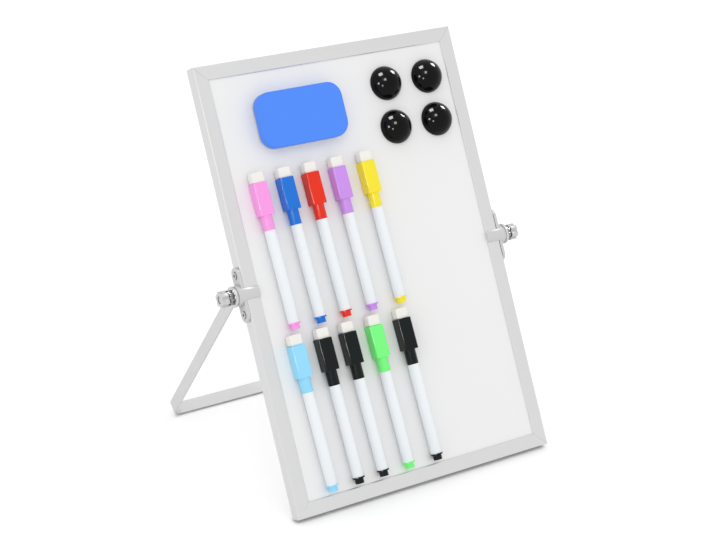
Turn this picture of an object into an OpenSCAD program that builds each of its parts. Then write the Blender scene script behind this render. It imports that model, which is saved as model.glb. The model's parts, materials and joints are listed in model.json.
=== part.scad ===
// Desk whiteboard easel: a two-sided magnetic board that turns in a U-shaped stand.
// The front carries an eraser, four dome magnets and two rows of markers.
// World frame: X to the right, Y to the back, Z up, origin on the desk under the middle of the easel.
// Board frame: X across, Y from the front face to the back, Z up from the bottom edge.

/* [Board] */
// Width of the framed board
board_w = 198; // [170:1:320]
// Height of the framed board
board_h = 300; // [285:1:420]
// How far the board leans back from upright, in degrees
lean = 27; // [18:0.5:36]

/* [Frame rails] */
// Depth of a rail from front to back
rail_depth = 10.5; // [9:0.1:14]
// Width of a rail seen from the front
rail_w = 9.8; // [9:0.1:14]
// Wall of the rail
rail_wall = 1.0; // [0.8:0.1:1.6]
// Width of the closed chamber along the outer edge
chamber_w = 2.6; // [2:0.1:4]
// Thickness of the web between the chamber and the panel groove
web_t = 0.9; // [0.7:0.1:1.5]
// Radius of the outer edges
rail_round = 1.2; // [0.4:0.1:1.4]
// Bevel on the lip that meets the writing face
lip_bevel = 0.5; // [0.1:0.1:0.7]
// Arm length of a corner key
key_arm = 24; // [12:1:40]
// Gap round a corner key in its chamber
key_clear = 0.1; // [0.05:0.05:0.3]

/* [Panel] */
// Thickness of a painted steel sheet
sheet_t = 0.4; // [0.2:0.1:0.8]
// Gap between the panel's edge and the web
panel_clear = 0.3; // [0.1:0.1:1]

/* [Hinge brackets] */
// Diameter of the sleeve that clasps the side rail
sleeve_d = 13.4; // [12:0.1:18]
// Reach of the boss beyond the rail
boss_len = 5.4; // [3.6:0.1:8]
// Length of the side plate
plate_len = 36.5; // [28:0.5:60]
// Thickness of the side plate
plate_t = 2.0; // [1.6:0.1:3]
// Gap between the sleeve's slot and the rail
slot_clear = 0.05; // [0.02:0.01:0.2]
// Bevel on the boss's outer edge
boss_bevel = 0.4; // [0.1:0.1:0.8]

/* [Bracket screws] */
// Diameter of the screw's shank
screw_d = 2.5; // [2:0.1:3.5]
// Diameter of the pan head
screw_head_d = 4.8; // [4:0.1:6.5]
// Height of the pan head
screw_head_h = 1.4; // [1:0.1:2.2]
// Length of the shank that goes into the rail
screw_grip = 3.0; // [2:0.1:3.4]
// Depth of the round recess that takes the head
recess_depth = 0.8; // [0.3:0.1:1.2]
// Gap round the head in its recess
recess_clear = 0.3; // [0.1:0.1:0.5]
// Gap round the shank
screw_clear = 0.02; // [0.01:0.01:0.1]
// Length of one bar of the cross recess
cross_len = 2.7; // [2:0.1:3.4]
// Width of one bar of the cross recess
cross_w = 0.7; // [0.4:0.1:1]
// Depth of the cross recess
cross_depth = 0.8; // [0.3:0.1:1]

/* [Pivot] */
// Diameter of the pivot bolt
bolt_d = 4.0; // [3:0.1:5]
// Width across the flats of the bolt's hexagon head
bolt_head_af = 7.0; // [5.5:0.1:8]
// Height of the bolt's head
bolt_head_h = 2.4; // [1.8:0.1:3]
// Gap round the bolt's head in its pocket
head_clear = 0.1; // [0.05:0.05:0.3]
// Running gap round the bolt
bolt_clear = 0.05; // [0.02:0.01:0.1]
// Diameter of the thrust washer
washer_d = 12; // [9:0.5:14]
// Thickness of the thrust washer
washer_t = 0.6; // [0.3:0.1:1.5]
// Diameter of the fluted lock collar
collar_d = 10.4; // [9:0.1:14]
// Length of the lock collar
collar_len = 3.0; // [2:0.1:8]
// Number of flutes round the lock collar
collar_flutes = 8; // [6:1:12]
// Diameter of the tool that cuts a flute in the collar
collar_flute_d = 2.4; // [1.2:0.1:3]
// Depth of a flute
collar_flute_depth = 0.7; // [0.3:0.1:1]

/* [Knob] */
// Diameter over the knob's lobes
knob_d = 11; // [10:0.1:18]
// Thickness of the lobed part
knob_grip = 5.0; // [3.5:0.1:10]
// Number of lobes
knob_lobes = 6; // [4:1:9]
// Diameter of the hollow between two lobes
lobe_gap_d = 3.4; // [2:0.1:5]
// Depth of that hollow
lobe_gap_depth = 1.0; // [0.4:0.1:1.6]
// Diameter of the hub that presses on the collar
hub_d = 8.4; // [7:0.1:9]
// Length of the hub
hub_len = 0.8; // [0.3:0.1:3]
// How far the bolt reaches into the knob
bolt_in_knob = 4.0; // [2:0.1:4]
// Diameter of the dish in the knob's end
dish_d = 5.2; // [3:0.1:7]
// Depth of the dish
dish_depth = 0.5; // [0.2:0.1:0.8]

/* [Stand] */
// Length of the stand from the pivot to its underside
stand_len = 171; // [166:1:240]
// Width of the flat bar
bar_w = 9.1; // [7:0.1:14]
// Thickness of the flat bar
bar_t = 1.8; // [1.6:0.1:4]
// Outside radius of the two bends
bend_r = 8; // [5:0.5:16]
// Diameter of the eye at the end of each leg
eye_d = 14; // [11:0.5:20]

/* [Eraser] */
// Length of the eraser
eraser_w = 64; // [40:1:80]
// Height of the eraser on the board
eraser_h = 37.2; // [25:0.1:44]
// Corner radius of the eraser
eraser_corner = 10; // [3:0.5:12]
// Thickness of the foam body
foam_t = 6.5; // [4:0.5:20]
// Thickness of the wiping felt
eraser_felt_t = 2.5; // [1:0.5:5]
// How far the felt stands back from the foam's edge
felt_inset = 0.4; // [0.1:0.1:2]
// Length of the magnet strip in the foam
strip_w = 34; // [20:1:36]
// Height of the magnet strip
strip_h = 14; // [6:1:20]
// Thickness of the magnet strip
strip_t = 1.6; // [1:0.1:3]
// Distance from the board's left edge to the eraser
eraser_left = 34.6; // [12:0.1:60]
// How far the eraser lies below the middle of the free strip over the markers
eraser_drop = 1.2; // [-3:0.1:3]

/* [Dome magnets] */
// Diameter of a dome
dome_d = 23.5; // [16:0.5:26]
// Height of a dome
dome_h = 10; // [6:0.5:14]
// Height of the straight skirt at its base
dome_skirt = 1.0; // [0.5:0.1:2]
// Diameter of the magnet disc
disc_d = 15; // [8:0.5:15]
// Thickness of the magnet disc
disc_t = 3; // [1.5:0.5:4]
// Distance between two domes across
dome_pitch_x = 32.9; // [28:0.1:40]
// Distance between two domes up
dome_pitch_z = 30.4; // [28:0.1:40]
// Distance from the board's right edge to the outer domes' centre
dome_right = 26.9; // [24:0.1:36]
// Distance from the board's top edge to the upper domes' centre
dome_top = 31.8; // [24:0.1:44]

/* [Markers] */
// Width of the square cap block
block_w = 10.1; // [8.6:0.1:14]
// Depth of the cap block
block_depth = 9.0; // [8.2:0.1:12]
// Length of the cap block
block_len = 21.5; // [18:0.5:30]
// Radius of the block's long edges
block_round = 1.0; // [0.3:0.1:2]
// Diameter of the collar below the block
cap_collar_d = 7.8; // [7:0.1:8]
// Length of the collar
cap_collar_len = 10; // [6:0.5:16]
// Diameter of the barrel
barrel_d = 7.6; // [7:0.1:8]
// Length of the barrel that shows
barrel_len = 62; // [40:1:62]
// Diameter of the tail plug's flange
flange_d = 8.2; // [7:0.1:8.2]
// Thickness of the flange
flange_t = 1.0; // [0.5:0.1:2]
// Diameter of the tail stub
stub_d = 6.0; // [4:0.1:7]
// Length of the tail stub
stub_len = 3.4; // [2:0.1:6]
// Bore of the cap round the nose
cap_bore = 6.0; // [5.9:0.1:6.2]
// Diameter of the neck inside the cap
neck_d = 5.7; // [5:0.1:5.8]
// Length of the neck inside the cap
neck_len = 8; // [6:0.5:9]
// Length of the nose that tapers to the nib
nose_len = 8; // [6:0.5:9]
// Wall of the nose round the nib at its tip
nose_wall = 0.6; // [0.4:0.1:1]
// Bore of the barrel
barrel_bore = 5.6; // [5:0.1:5.8]
// Diameter of the ink reservoir
ink_d = 5.2; // [4:0.1:5]
// Diameter of the fibre nib
nib_d = 2.2; // [1.2:0.1:3]
// Length of the nib that stands out of the nose
nib_len = 4; // [2:0.5:5]
// Free length of the cap's bore beyond the nib
nib_room = 2; // [1:0.5:3]
// Distance from the end of the ink reservoir to the cap
ink_back = 3; // [1:0.5:8]
// Length of the plug's spigot inside the barrel
spigot_len = 4.5; // [2:0.5:8]
// Gap round the parts inside a marker
inner_clear = 0.05; // [0.02:0.01:0.1]
// Width of the felt on the cap
cap_felt_w = 8.8; // [6:0.1:9]
// Depth of the felt on the cap
cap_felt_depth = 6.6; // [4:0.1:8]
// Length of the felt on the cap
cap_felt_len = 7.1; // [4:0.1:8]
// Width of the cap's magnet
cap_magnet_w = 6; // [4:0.5:7]
// Length of the cap's magnet
cap_magnet_len = 8; // [4:0.5:9]
// Distance from the block's felt end to the cap's magnet
cap_magnet_inset = 1; // [0.6:0.1:3]
// Thickness of the cap's magnet
cap_magnet_t = 1.6; // [0.8:0.1:2]

/* [Marker rows] */
// Distance from the board's left edge to the first marker
marker_left = 25.6; // [18:0.1:40]
// Distance between two markers
marker_pitch = 20.1; // [15:0.1:21]
// Slant of each marker, in degrees
marker_slant = 1.5; // [0:0.1:3]
// Height of the lower row's tails above the board's bottom edge
row_up = 12.2; // [11:0.1:16]
// Gap between the lower row's felts and the upper row's tails
row_gap = 3.1; // [1.5:0.1:8]

/* [Hidden] */
$fn = 96;

// Name, colour, row and shift sideways from even spacing of each marker, from the left, as laid by hand
MARKERS = [
    ["pink", [0.98, 0.60, 0.88], 1, 0.3],
    ["blue", [0.16, 0.43, 0.86], 1, -0.2],
    ["red", [0.94, 0.20, 0.15], 1, -1.1],
    ["purple", [0.80, 0.55, 0.94], 1, -0.9],
    ["yellow", [1.00, 0.92, 0.23], 1, 1.2],
    ["light_blue", [0.56, 0.87, 1.00], 0, 0],
    ["black_1", [0.12, 0.15, 0.15], 0, -0.2],
    ["black_2", [0.12, 0.15, 0.15], 0, -1.6],
    ["green", [0.49, 1.00, 0.49], 0, -1.5],
    ["black_3", [0.12, 0.15, 0.15], 0, 0.4]
];
MARKERS_IN_ROW = 5;
// Column and row of each dome magnet, the rows counted down from the top
DOMES = [
    ["upper_left", 0, 0],
    ["upper_right", 1, 0],
    ["lower_left", 0, 1],
    ["lower_right", 1, 1]
];

// Frame and panel
groove_start = rail_wall + chamber_w + web_t;
panel_margin = groove_start + panel_clear;
sheet_front = rail_wall;
eps = 0.5;

// Places along the pivot, measured outward from the rail's outer face
pivot_up = board_h / 2;
washer_start = boss_len;
eye_start = washer_start + washer_t;
collar_start = eye_start + bar_t;
knob_start = collar_start + collar_len;
bolt_end = knob_start + bolt_in_knob;
plate_w = rail_depth;
screw_up = (plate_len - plate_w) / 2;

// The board's rounded rear bottom edge rests on the desk
lift = (rail_depth - rail_round) * sin(lean) + rail_round * (1 - cos(lean));
pivot_z = lift + pivot_up * cos(lean) - rail_depth / 2 * sin(lean);
pivot_y = pivot_up * sin(lean) + rail_depth / 2 * cos(lean);
// The stand swings back until the front edge of its bar meets the desk
stand_tilt = atan2(bar_w / 2, stand_len) + acos(pivot_z / norm([stand_len, bar_w / 2]));
stand_back = pivot_y + stand_len * sin(stand_tilt) + bar_w / 2 * cos(stand_tilt);
shift_y = -stand_back / 2;

// Marker stations along its own length, from the tail
flange_at = stub_len;
barrel_at = flange_at + flange_t;
cap_at = barrel_at + barrel_len;
block_at = cap_at + cap_collar_len;
felt_at = block_at + block_len;
marker_len = felt_at + cap_felt_len;
axis_depth = block_depth / 2;
nose_at = cap_at + neck_len;
nib_at = nose_at + nose_len;
nib_end = nib_at + nib_len;
cap_bore_end = nib_end + nib_room;
ink_end = cap_at - ink_back;
cap_magnet_at = felt_at - cap_magnet_inset - cap_magnet_len;
upper_row_up = row_up + marker_len + row_gap;
markers_top = upper_row_up + marker_len;
eraser_mid = (markers_top + board_h - rail_w) / 2 - eraser_drop;

// Moves its children from the board frame to the world frame
module on_board() {
    translate([0, shift_y, lift]) rotate([-lean, 0, 0]) children();
}

// Moves its children from the stand's own frame, with the pivot at its origin, to the world frame
module on_stand() {
    translate([0, shift_y + pivot_y, pivot_z]) rotate([stand_tilt, 0, 0]) children();
}

// Places its children at the pivot of one side, with X pointing outward from the rail
module at_pivot(side) {
    on_board()
        mirror([side < 0 ? 1 : 0, 0, 0])
            translate([board_w / 2, rail_depth / 2, pivot_up])
                children();
}

// A cylinder along X that starts at the given place
module rod_x(start, length, d, sides = $fn) {
    translate([start, 0, 0]) rotate([0, 90, 0]) cylinder(d = d, h = length, $fn = sides);
}

// A rectangle with round corners
module rounded_rect(w, h, r) {
    square([w - 2 * r, h], center = true);
    square([w, h - 2 * r], center = true);
    for (x = [-1, 1], y = [-1, 1]) translate([x * (w / 2 - r), y * (h / 2 - r)]) circle(r);
}

// Section of a rail: X inward from the outer edge, Y from front to back
module rail_section() {
    difference() {
        union() {
            translate([rail_round, 0]) square([rail_w - rail_round, rail_depth]);
            translate([0, rail_round]) square([rail_round, rail_depth - 2 * rail_round]);
            for (y = [rail_round, rail_depth - rail_round]) translate([rail_round, y]) circle(rail_round);
        }
        translate([rail_wall, rail_wall]) square([chamber_w, rail_depth - 2 * rail_wall]);
        translate([groove_start, rail_wall]) square([rail_w, rail_depth - 2 * rail_wall]);
        polygon([[rail_w - lip_bevel, -eps], [rail_w - lip_bevel, 0], [rail_w, lip_bevel],
            [rail_w + eps, lip_bevel], [rail_w + eps, -eps]]);
        polygon([[rail_w - lip_bevel, rail_depth + eps], [rail_w - lip_bevel, rail_depth],
            [rail_w, rail_depth - lip_bevel], [rail_w + eps, rail_depth - lip_bevel],
            [rail_w + eps, rail_depth + eps]]);
    }
}

// A rail along Z with both ends mitred
module rail(length) {
    intersection() {
        linear_extrude(height = length) rail_section();
        translate([0, rail_depth + eps, 0]) rotate([90, 0, 0]) linear_extrude(height = rail_depth + 2 * eps)
            polygon([[-eps, -eps], [-eps, length + eps], [rail_w + eps, length - rail_w - eps],
                [rail_w + eps, rail_w + eps]]);
    }
}

// A side rail on the right, with the two screw holes of its bracket
module side_rail() {
    difference() {
        mirror([1, 0, 0]) translate([-board_w / 2, 0, 0]) rail(board_h);
        for (s = [-1, 1]) translate([board_w / 2, rail_depth / 2, pivot_up + s * screw_up])
            rod_x(-rail_wall - eps, rail_wall + 2 * eps, screw_d + 2 * screw_clear);
    }
}

module frame_rail_top() {
    color([0.87, 0.87, 0.88]) on_board()
        translate([-board_w / 2, 0, board_h]) rotate([0, 90, 0]) rail(board_w);
}

module frame_rail_bottom() {
    color([0.87, 0.87, 0.88]) on_board()
        translate([board_w / 2, 0, 0]) rotate([0, -90, 0]) rail(board_w);
}

module frame_rail_left() {
    color([0.87, 0.87, 0.88]) on_board() mirror([1, 0, 0]) side_rail();
}

module frame_rail_right() {
    color([0.87, 0.87, 0.88]) on_board() side_rail();
}

// One corner key in the lower left corner
module corner_key() {
    near = rail_wall + key_clear;
    thick = chamber_w - 2 * key_clear;
    depth = rail_depth - 2 * near;
    translate([near, near, near]) cube([thick, depth, key_arm]);
    translate([near, near, near]) cube([key_arm, depth, thick]);
}

module corner_keys() {
    color([0.55, 0.56, 0.58]) on_board()
        for (x = [0, 1], z = [0, 1])
            mirror([x, 0, 0]) translate([-board_w / 2, 0, z * board_h]) mirror([0, 0, z]) corner_key();
}

// A layer of the panel between two depths
module panel_layer(front, back) {
    on_board() translate([panel_margin - board_w / 2, front, panel_margin])
        cube([board_w - 2 * panel_margin, back - front, board_h - 2 * panel_margin]);
}

module front_sheet() {
    color([0.96, 0.96, 0.97]) panel_layer(sheet_front, sheet_front + sheet_t);
}

module back_sheet() {
    color([0.96, 0.96, 0.97])
        panel_layer(rail_depth - sheet_front - sheet_t, rail_depth - sheet_front);
}

module core_board() {
    color([0.80, 0.72, 0.58])
        panel_layer(sheet_front + sheet_t, rail_depth - sheet_front - sheet_t);
}

// Bracket of one side: a slotted sleeve round the rail, a boss and a side plate
module hinge_bracket(side) {
    color([0.82, 0.82, 0.83]) at_pivot(side) difference() {
        union() {
            rod_x(-rail_w, rail_w + boss_len - boss_bevel, sleeve_d);
            translate([boss_len - boss_bevel, 0, 0]) rotate([0, 90, 0])
                cylinder(d1 = sleeve_d, d2 = sleeve_d - 2 * boss_bevel, h = boss_bevel);
            for (s = [-1, 1]) translate([0, 0, s * screw_up]) rod_x(0, plate_t, plate_w);
            translate([0, -plate_w / 2, -screw_up]) cube([plate_t, plate_w, 2 * screw_up]);
        }
        translate([-rail_w - eps, -rail_depth / 2 - slot_clear, -sleeve_d])
            cube([rail_w + eps, rail_depth + 2 * slot_clear, 2 * sleeve_d]);
        rod_x(-eps, eps + bolt_head_h + head_clear, hexagon(bolt_head_af + 2 * head_clear), 6);
        rod_x(0, boss_len + eps, bolt_d + 2 * screw_clear);
        for (s = [-1, 1]) translate([0, 0, s * screw_up]) {
            rod_x(-eps, plate_t + 2 * eps, screw_d + 2 * screw_clear);
            rod_x(plate_t - recess_depth, recess_depth + eps, screw_head_d + 2 * recess_clear);
        }
    }
}

// Width across the corners of a hexagon, from its width across the flats
function hexagon(flats) = flats / cos(30);

// One pan head screw along X, with its head outward
module screw() {
    seat = plate_t - recess_depth;
    rod_x(-screw_grip, screw_grip + seat, screw_d);
    difference() {
        rod_x(seat, screw_head_h, screw_head_d);
        for (turn = [0, 90])
            translate([seat + screw_head_h - cross_depth, 0, 0]) rotate([turn, 0, 0])
                translate([0, -cross_len / 2, -cross_w / 2]) cube([cross_depth + eps, cross_len, cross_w]);
    }
}

module bracket_screws() {
    color([0.75, 0.75, 0.76])
        for (side = [-1, 1], s = [-1, 1]) at_pivot(side) translate([0, 0, s * screw_up]) screw();
}

module pivot_bolts() {
    color([0.70, 0.70, 0.72]) for (side = [-1, 1]) at_pivot(side) {
        rod_x(0, bolt_head_h, hexagon(bolt_head_af), 6);
        rod_x(0, bolt_end, bolt_d);
    }
}

// A plain ring along X
module ring_x(start, length, outer, bore) {
    difference() {
        rod_x(start, length, outer);
        rod_x(start - eps, length + 2 * eps, bore);
    }
}

module thrust_washers() {
    color([0.93, 0.93, 0.90]) for (side = [-1, 1]) at_pivot(side)
        ring_x(washer_start, washer_t, washer_d, bolt_d + 2 * screw_clear);
}

// Collar of one side, fluted so that it bites when the knob presses on it
module lock_collar(side) {
    color([0.78, 0.78, 0.80]) at_pivot(side) difference() {
        ring_x(collar_start, collar_len, collar_d, bolt_d + 2 * screw_clear);
        for (i = [0 : collar_flutes - 1]) rotate([i * 360 / collar_flutes, 0, 0])
            translate([0, 0, (collar_d + collar_flute_d) / 2 - collar_flute_depth])
                rod_x(collar_start - eps, collar_len + 2 * eps, collar_flute_d);
    }
}

// Lobed knob of one side, with a blind bore for the bolt
module knob(side) {
    grip_start = knob_start + hub_len;
    knob_end = grip_start + knob_grip;
    color([0.80, 0.80, 0.81]) at_pivot(side) difference() {
        union() {
            rod_x(knob_start, hub_len, hub_d);
            difference() {
                rod_x(grip_start, knob_grip, knob_d);
                for (i = [0 : knob_lobes - 1]) rotate([(i + 0.5) * 360 / knob_lobes, 0, 0])
                    translate([0, 0, (knob_d + lobe_gap_d) / 2 - lobe_gap_depth])
                        rod_x(grip_start - eps, knob_grip + 2 * eps, lobe_gap_d);
            }
        }
        rod_x(knob_start - eps, bolt_in_knob + inner_clear + eps, bolt_d + 2 * bolt_clear);
        rod_x(knob_end - dish_depth, dish_depth + eps, dish_d);
    }
}

// Outline of the stand seen square to its plane, half width out to the legs' outer faces
module stand_outline(half, depth, r) {
    translate([-half, -depth + r]) square([2 * half, depth - r]);
    translate([-half + r, -depth]) square([2 * (half - r), r]);
    for (x = [-1, 1]) translate([x * (half - r), -depth + r]) circle(r);
}

module stand_frame() {
    outer = board_w / 2 + eye_start + bar_t;
    color([0.84, 0.84, 0.85]) on_stand() difference() {
        union() {
            translate([0, bar_w / 2, 0]) rotate([90, 0, 0]) linear_extrude(height = bar_w) difference() {
                stand_outline(outer, stand_len, bend_r);
                translate([0, eps]) stand_outline(outer - bar_t, stand_len - bar_t + eps, bend_r - bar_t);
            }
            for (x = [-outer, outer - bar_t]) rod_x(x, bar_t, eye_d);
        }
        for (x = [-outer, outer - bar_t]) rod_x(x - eps, bar_t + 2 * eps, bolt_d + 2 * bolt_clear);
    }
}

// Places its children on the front sheet, with Y still pointing to the back
module on_sheet(x, z) {
    on_board() translate([x, sheet_front, z]) children();
}

// A slab parallel to the sheet: its back lies at the given distance in front of the sheet
module slab(back, thickness) {
    translate([0, -back, 0]) rotate([90, 0, 0]) linear_extrude(height = thickness) children();
}

// Places its children at the eraser's centre
module at_eraser() {
    on_sheet(-board_w / 2 + eraser_left + eraser_w / 2, eraser_mid) children();
}

module eraser_body() {
    color([0.33, 0.57, 1.00]) at_eraser() difference() {
        slab(eraser_felt_t, foam_t) rounded_rect(eraser_w, eraser_h, eraser_corner);
        slab(eraser_felt_t - eps, strip_t + eps)
            square([strip_w + 2 * inner_clear, strip_h + 2 * inner_clear], center = true);
    }
}

module eraser_felt() {
    color([0.85, 0.85, 0.86]) at_eraser() slab(0, eraser_felt_t)
        rounded_rect(eraser_w - 2 * felt_inset, eraser_h - 2 * felt_inset, eraser_corner - felt_inset);
}

module eraser_magnet() {
    color([0.20, 0.20, 0.21]) at_eraser() slab(eraser_felt_t, strip_t)
        square([strip_w, strip_h], center = true);
}

// Places its children at the centre of dome i, with Z pointing out from the sheet
module at_dome(i) {
    x = board_w / 2 - dome_right - (1 - DOMES[i][1]) * dome_pitch_x;
    z = board_h - dome_top - DOMES[i][2] * dome_pitch_z;
    on_sheet(x, z) rotate([90, 0, 0]) children();
}

// Half of the dome's section: a spherical cap on a straight skirt
module dome_section() {
    crown = dome_h - dome_skirt;
    ball = (pow(dome_d / 2, 2) + pow(crown, 2)) / (2 * crown);
    square([dome_d / 2, dome_skirt]);
    intersection() {
        translate([0, dome_h - ball]) circle(ball, $fn = 128);
        translate([0, dome_skirt]) square([dome_d / 2, crown]);
    }
}

module dome(i) {
    color([0.07, 0.07, 0.08]) at_dome(i) difference() {
        rotate_extrude() dome_section();
        translate([0, 0, -eps]) cylinder(d = disc_d + 2 * inner_clear, h = disc_t + inner_clear + eps);
    }
}

module dome_magnet(i) {
    color([0.22, 0.22, 0.23]) at_dome(i) cylinder(d = disc_d, h = disc_t);
}

// Places its children on the axis of marker i, with Z along it from the tail
module at_marker(i) {
    x = -board_w / 2 + marker_left + (i % MARKERS_IN_ROW) * marker_pitch + MARKERS[i][3];
    z = MARKERS[i][2] == 1 ? upper_row_up : row_up;
    on_sheet(x, z + marker_len / 2) rotate([0, -marker_slant, 0])
        translate([0, -axis_depth, -marker_len / 2]) children();
}

// A round pillar along Z between two stations
module pillar(from, to, d) {
    translate([0, 0, from]) cylinder(d = d, h = to - from);
}

// The cap's magnet, or, with a gap round it, the pocket that it sits in, open to the back
module cap_magnet(clear) {
    past = clear > 0 ? eps : 0;
    translate([-cap_magnet_w / 2 - clear, axis_depth - cap_magnet_t - clear, cap_magnet_at - clear])
        cube([cap_magnet_w + 2 * clear, cap_magnet_t + clear + past, cap_magnet_len + 2 * clear]);
}

// Coloured cap, its magnet and the tail plug, as separate solids
module marker_cap_and_plug(i) {
    color(MARKERS[i][1]) at_marker(i) {
        difference() {
            union() {
                translate([0, 0, block_at]) linear_extrude(height = block_len)
                    rounded_rect(block_w, block_depth, block_round);
                pillar(cap_at, block_at, cap_collar_d);
            }
            pillar(cap_at - eps, cap_bore_end, cap_bore);
            cap_magnet(inner_clear);
        }
        cap_magnet(0);
        pillar(0, flange_at, stub_d);
        pillar(flange_at, barrel_at, flange_d);
        pillar(barrel_at, barrel_at + spigot_len, barrel_bore - 2 * inner_clear);
    }
}

// White barrel with its nose, the ink reservoir and the nib, as separate solids
module marker_barrel(i) {
    color([0.93, 0.96, 0.99]) at_marker(i) {
        difference() {
            union() {
                pillar(barrel_at, cap_at, barrel_d);
                pillar(cap_at, nose_at, neck_d);
                translate([0, 0, nose_at])
                    cylinder(d1 = neck_d, d2 = nib_d + 2 * nose_wall, h = nose_len);
            }
            pillar(barrel_at - eps, ink_end + inner_clear, barrel_bore);
            pillar(barrel_at, nib_at + eps, nib_d + 2 * inner_clear);
        }
        pillar(barrel_at + spigot_len + inner_clear, ink_end, ink_d);
        pillar(ink_end + inner_clear, nib_end, nib_d);
    }
}

module marker_felt(i) {
    color([0.97, 0.97, 0.97]) at_marker(i) translate([0, 0, felt_at]) linear_extrude(height = cap_felt_len)
        rounded_rect(cap_felt_w, cap_felt_depth, block_round);
}

frame_rail_top();
frame_rail_bottom();
frame_rail_left();
frame_rail_right();
corner_keys();
front_sheet();
back_sheet();
core_board();
hinge_bracket(-1);  // hinge_bracket_left
hinge_bracket(1);  // hinge_bracket_right
bracket_screws();
pivot_bolts();
thrust_washers();
lock_collar(-1);  // lock_collar_left
lock_collar(1);  // lock_collar_right
knob(-1);  // knob_left
knob(1);  // knob_right
stand_frame();
eraser_body();
eraser_felt();
eraser_magnet();
for (i = [0 : len(DOMES) - 1]) {
    dome(i);
    dome_magnet(i);
}
for (i = [0 : len(MARKERS) - 1]) {
    marker_cap_and_plug(i);
    marker_barrel(i);
    marker_felt(i);
}
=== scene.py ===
"""Looks of the desk whiteboard easel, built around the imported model.

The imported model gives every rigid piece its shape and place. This script gives each one its
finish, rounds its sharp edges, and models the soft pieces (felts and foam) as meshes of their own.
All lengths are in metres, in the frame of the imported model.
"""

import json
import logging
import math
from dataclasses import dataclass, replace
from enum import Enum
from typing import Callable, Sequence

import bmesh
import bpy
from mathutils import Matrix, Vector, noise


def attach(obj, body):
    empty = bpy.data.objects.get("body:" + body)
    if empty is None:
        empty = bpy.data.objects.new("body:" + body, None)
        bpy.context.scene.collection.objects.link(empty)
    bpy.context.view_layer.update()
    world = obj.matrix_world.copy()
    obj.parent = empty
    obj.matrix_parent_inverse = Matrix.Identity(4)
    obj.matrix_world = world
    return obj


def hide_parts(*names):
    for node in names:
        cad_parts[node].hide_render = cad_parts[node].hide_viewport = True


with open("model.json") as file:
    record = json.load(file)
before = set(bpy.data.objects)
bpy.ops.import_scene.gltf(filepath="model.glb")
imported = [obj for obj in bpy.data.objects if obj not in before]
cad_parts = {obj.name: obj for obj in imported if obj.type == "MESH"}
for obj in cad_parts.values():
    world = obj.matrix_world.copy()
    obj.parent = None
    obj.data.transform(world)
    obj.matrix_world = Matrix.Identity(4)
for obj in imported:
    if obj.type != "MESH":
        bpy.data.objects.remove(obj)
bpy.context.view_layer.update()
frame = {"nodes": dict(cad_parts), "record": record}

log = logging.getLogger("easel")

Colour = tuple[float, float, float]
Triple = tuple[float, float, float]
Socket = bpy.types.NodeSocket


class Along(Enum):
    """Which way a metal bar's fine lines run, as the turn that brings them onto texture X."""

    ACROSS = (0.0, 0.0, 0.0)
    UPWARD = (0.0, math.pi / 2, 0.0)


class Ink(Enum):
    """Ink colours of the pens, as the colour of the cap and the plug."""

    PINK = (0.97, 0.345, 0.80)
    BLUE = (0.012, 0.175, 0.68)
    RED = (0.81, 0.03, 0.010)
    PURPLE = (0.61, 0.295, 0.85)
    YELLOW = (0.95, 0.80, 0.035)
    LIGHT_BLUE = (0.31, 0.72, 0.98)
    BLACK = (0.003, 0.006, 0.006)
    GREEN = (0.20, 0.965, 0.23)


class GroupKind(Enum):
    """The shared effects, each one a shader node group."""

    GRAIN = "moulded_grain"
    DRAWN = "drawn_lines"
    WEAR = "edge_wear"
    HANDLING = "handling_marks"
    FIBRE = "felt_fibre"
    # painted shade: a mask that darkens colour in grooves, corners and contacts
    RECESS = "recess_shade"


# Shader node helpers


def toned(colour: Colour, factor: float, lift: float = 0.0) -> Colour:
    """Makes a colour darker or lighter.

    Args:
        colour: the colour to start from.
        factor: what each channel is multiplied by.
        lift: what is then added to each channel.

    Returns:
        The new colour, with no channel above 1.
    """
    return tuple(min(1.0, factor * channel + lift) for channel in colour)


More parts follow.
